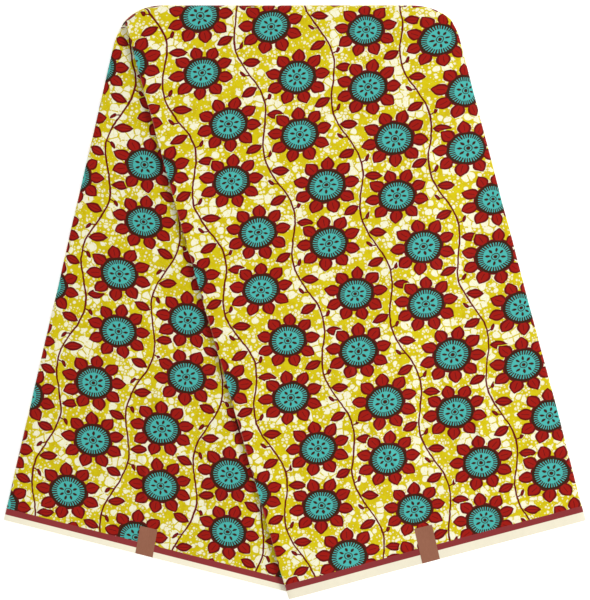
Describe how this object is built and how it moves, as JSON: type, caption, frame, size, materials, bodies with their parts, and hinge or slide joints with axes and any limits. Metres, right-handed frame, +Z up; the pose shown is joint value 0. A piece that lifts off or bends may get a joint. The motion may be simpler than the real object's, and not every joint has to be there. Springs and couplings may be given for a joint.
{
  "type": "ankara fabric",
  "caption": "Length of wax-print cotton, pleated into a flat strip and folded once across, so that its two leaves splay and the front one lies on the back one.",
  "frame": {"origin": "on the surface that the cloth rests on, under the middle of its outline", "axes": "+Z up from the surface; +Y from the selvedge ends towards the fold across the strip; +X towards the side that the front leaf splays to"},
  "size_m": [0.582, 0.593, 0.0139],
  "materials": {
    "front_leaf_print": "smooth plain-weave cotton with a light starched sheen, printed in red, yellow, teal and cream",
    "front_hidden_print": "printed cotton, folded edges",
    "front_underside_print": "printed cotton",
    "back_leaf_print": "smooth plain-weave cotton with a light starched sheen, printed in red, yellow, teal and cream",
    "back_hidden_print": "printed cotton, folded edges",
    "back_underside_print": "printed cotton",
    "label": "plain matte brown paper, bare"
  },
  "bodies": {
    "root": {"front_leaf": "front_leaf_print", "front_leaf_hidden_layers": "front_hidden_print", "front_leaf_underside": "front_underside_print", "back_leaf": "back_leaf_print", "back_leaf_hidden_layers": "back_hidden_print", "back_leaf_underside": "back_underside_print", "front_label": "label", "back_label": "label"}
  },
  "joints": []
}
